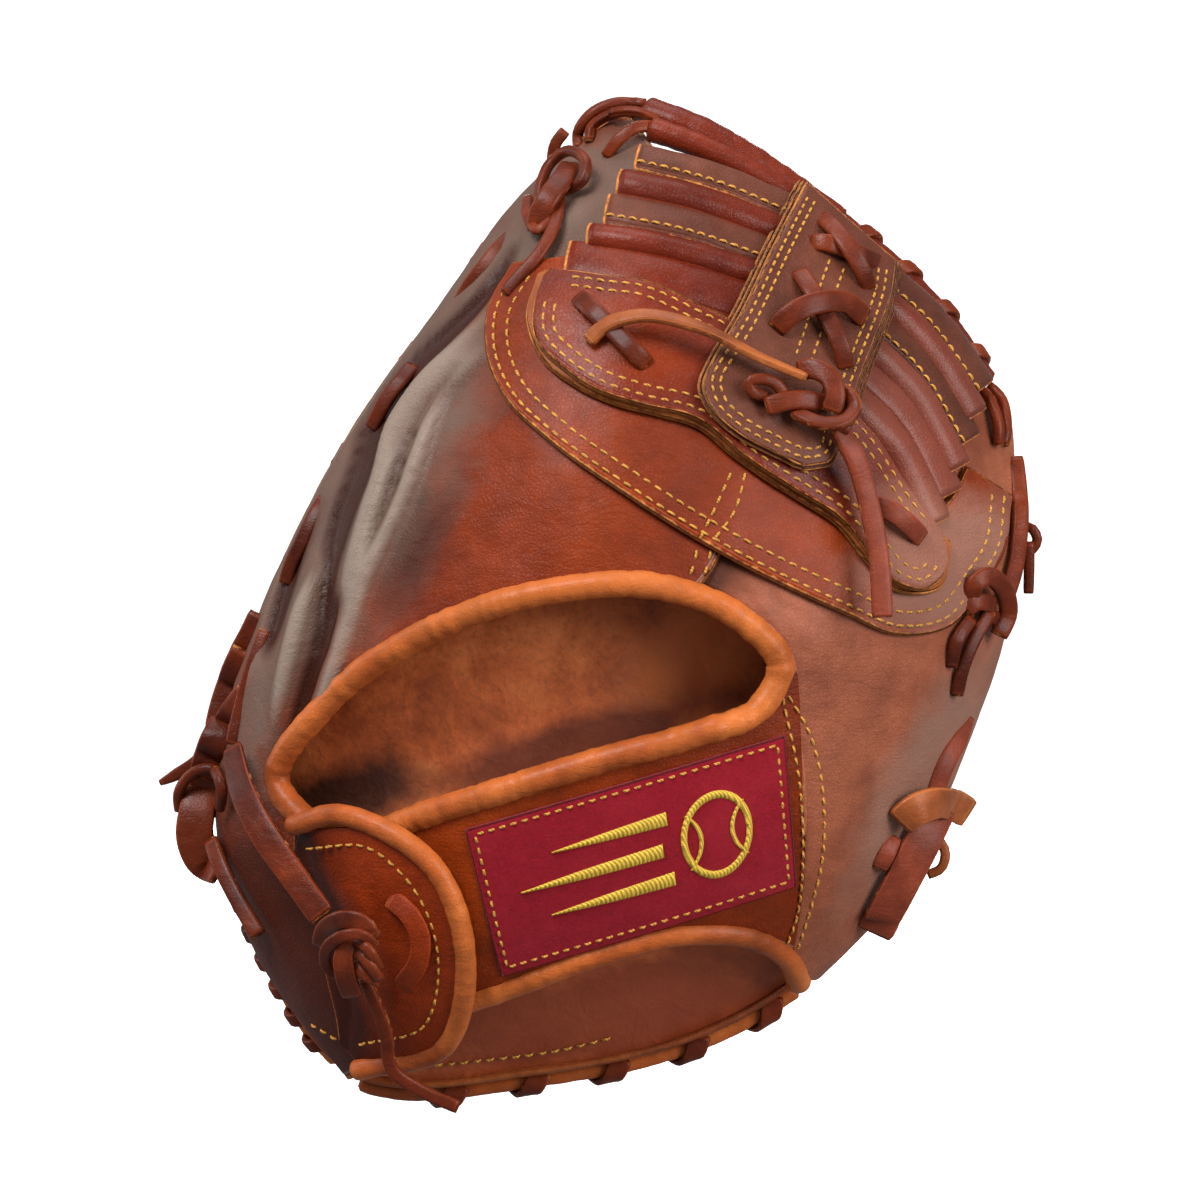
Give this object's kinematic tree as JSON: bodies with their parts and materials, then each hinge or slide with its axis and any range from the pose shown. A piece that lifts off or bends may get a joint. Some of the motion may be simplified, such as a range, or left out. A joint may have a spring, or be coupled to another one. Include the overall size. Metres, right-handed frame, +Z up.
{
  "type": "baseball catcher's mitt",
  "caption": "Left-hand catcher's mitt with a padded palm, laced closed web, hand opening, wrist strap and folding thumb side.",
  "frame": {"origin": "middle of the hand opening, level with the back", "axes": "+Z up as the mitt is held, +Y towards the palm, +X towards the thumb"},
  "size_m": [0.2602, 0.1169, 0.3087],
  "materials": {
    "glove_leather": "oiled, semi-gloss, creased",
    "dark_leather": "oiled, semi-gloss",
    "tan_rolled_leather": "rolled edge, satin",
    "lining_leather": "matt, mottled by wear",
    "lace_leather": "rawhide lace, satin with paler cut edges",
    "crimson_felt": "felt with golden embroidery",
    "pad_felt": "pressed wool felt"
  },
  "bodies": {
    "finger_side": {"finger_back": "glove_leather", "thumb_back_crotch": "glove_leather", "finger_stall": "lining_leather", "hand_opening_binding": "tan_rolled_leather", "wrist_strap": "glove_leather", "strap_lower_binding": "tan_rolled_leather", "label_patch": "crimson_felt", "wrist_flap": "glove_leather", "wrist_flap_binding": "tan_rolled_leather", "wrist_lace": "lace_leather", "wrist_knot": "lace_leather", "wrist_tail": "lace_leather", "palm_leather": "glove_leather", "palm_lining": "lining_leather", "finger_pad": "pad_felt", "heel_pad": "pad_felt", "pocket_pad": "pad_felt", "web_base_finger": "glove_leather", "web_crescent_finger": "glove_leather", "web_strip_finger_1": "dark_leather", "web_strip_finger_2": "dark_leather", "web_strip_finger_3": "dark_leather", "web_strip_finger_4": "dark_leather", "web_top_finger": "glove_leather", "heel_binding": "tan_rolled_leather", "finger_edge_welt": "tan_rolled_leather", "heel_lace": "lace_leather", "heel_corner_lace": "lace_leather", "finger_edge_lace": "lace_leather", "little_finger_lace": "lace_leather", "little_finger_knot": "lace_leather", "little_finger_tail": "lace_leather", "fingertip_lace": "lace_leather", "fingertip_knot": "lace_leather", "fingertip_tail": "lace_leather"},
    "thumb_side": {"thumb_back": "glove_leather", "thumb_stall": "lining_leather", "thumb_pad": "pad_felt", "web_base_thumb": "glove_leather", "web_crescent_thumb": "glove_leather", "web_strip_thumb_1": "dark_leather", "web_strip_thumb_2": "dark_leather", "web_strip_thumb_3": "dark_leather", "web_strip_thumb_4": "dark_leather", "web_strip_thumb_5": "dark_leather", "web_top_thumb": "glove_leather", "thumb_edge_welt": "tan_rolled_leather", "web_edge_lace": "lace_leather", "thumb_lace": "lace_leather", "thumb_knot": "lace_leather", "thumb_knot_tail": "lace_leather", "thumb_strap_loop": "lace_leather", "thumb_strap_tail": "lace_leather"},
    "web_spine": {"web_spine_strap": "dark_leather", "web_spine_facing": "dark_leather", "web_cross_lace": "lace_leather", "web_knot": "lace_leather", "web_tail": "lace_leather", "web_loop_lace": "lace_leather"}
  },
  "joints": [
    {"name": "thumb_close", "type": "hinge", "parent": "finger_side", "child": "thumb_side", "pos_m": [0.084, 0.044, -0.086], "axis": [0.0346, -0.0173, 0.9993], "range_deg": [0, 20], "stiffness_Nm_per_rad": 1, "springref_deg": -17.19, "deforming": ["palm_leather"]},
    {"name": "web_fold", "type": "hinge", "parent": "finger_side", "child": "web_spine", "pos_m": [0.084, 0.044, -0.086], "axis": [0.0346, -0.0173, 0.9993], "range_deg": [0, 10]}
  ],
  "couplings": [
    {"joint": "web_fold", "follows": "thumb_close", "ratio": 0.5}
  ]
}
